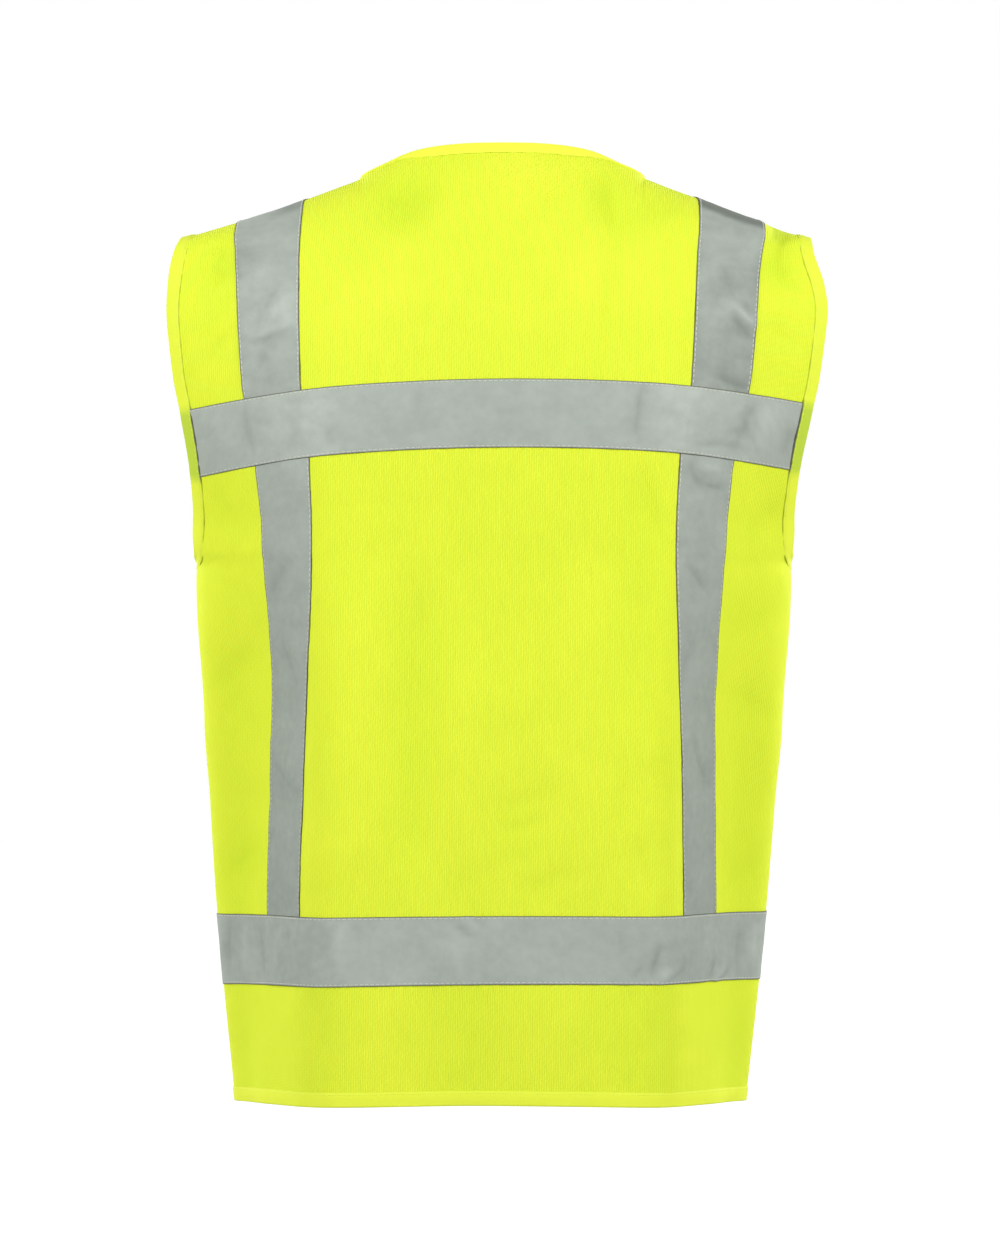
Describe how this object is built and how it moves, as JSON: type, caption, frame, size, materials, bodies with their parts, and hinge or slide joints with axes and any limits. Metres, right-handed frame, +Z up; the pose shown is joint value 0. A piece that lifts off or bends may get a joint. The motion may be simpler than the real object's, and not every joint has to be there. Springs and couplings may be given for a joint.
{
  "type": "safety vest",
  "caption": "Sleeveless high-visibility vest in yellow knit, filled out as when worn, with silver reflective tape round the chest and waist, over the shoulders and down the body.",
  "frame": {"origin": "where the wearer's shoulders hold the vest: midway between the two points where the neckline meets the shoulder seams, at their height", "axes": "+Z up the body from hem to shoulders, +Y from the front to the back of the wearer, +X to the wearer's left"},
  "size_m": [0.4934, 0.307, 0.7202],
  "materials": {
    "yellow_knit": "matt warp knit, fluorescent yellow",
    "silver_tape": "silver retroreflective tape, soft sheen",
    "yellow_binding": "smooth woven binding, fluorescent yellow",
    "yellow_fastener": "hook-and-loop fastener strip, yellow"
  },
  "bodies": {
    "root": {"armhole_binding_left": "yellow_binding", "armhole_binding_right": "yellow_binding", "back_panel": "yellow_knit", "brace_tape_back_left": "silver_tape", "brace_tape_back_right": "silver_tape", "brace_tape_front_left": "silver_tape", "brace_tape_front_right": "silver_tape", "chest_tape_back": "silver_tape", "chest_tape_front_left": "silver_tape", "chest_tape_front_right": "silver_tape", "front_panel_left": "yellow_knit", "front_panel_right": "yellow_knit", "hem_binding": "yellow_binding", "hook_strip": "yellow_fastener", "loop_strip": "yellow_fastener", "neck_binding": "yellow_binding", "shoulder_tape_left": "silver_tape", "shoulder_tape_right": "silver_tape", "waist_tape_back": "silver_tape", "waist_tape_front_left": "silver_tape", "waist_tape_front_right": "silver_tape"}
  },
  "joints": []
}
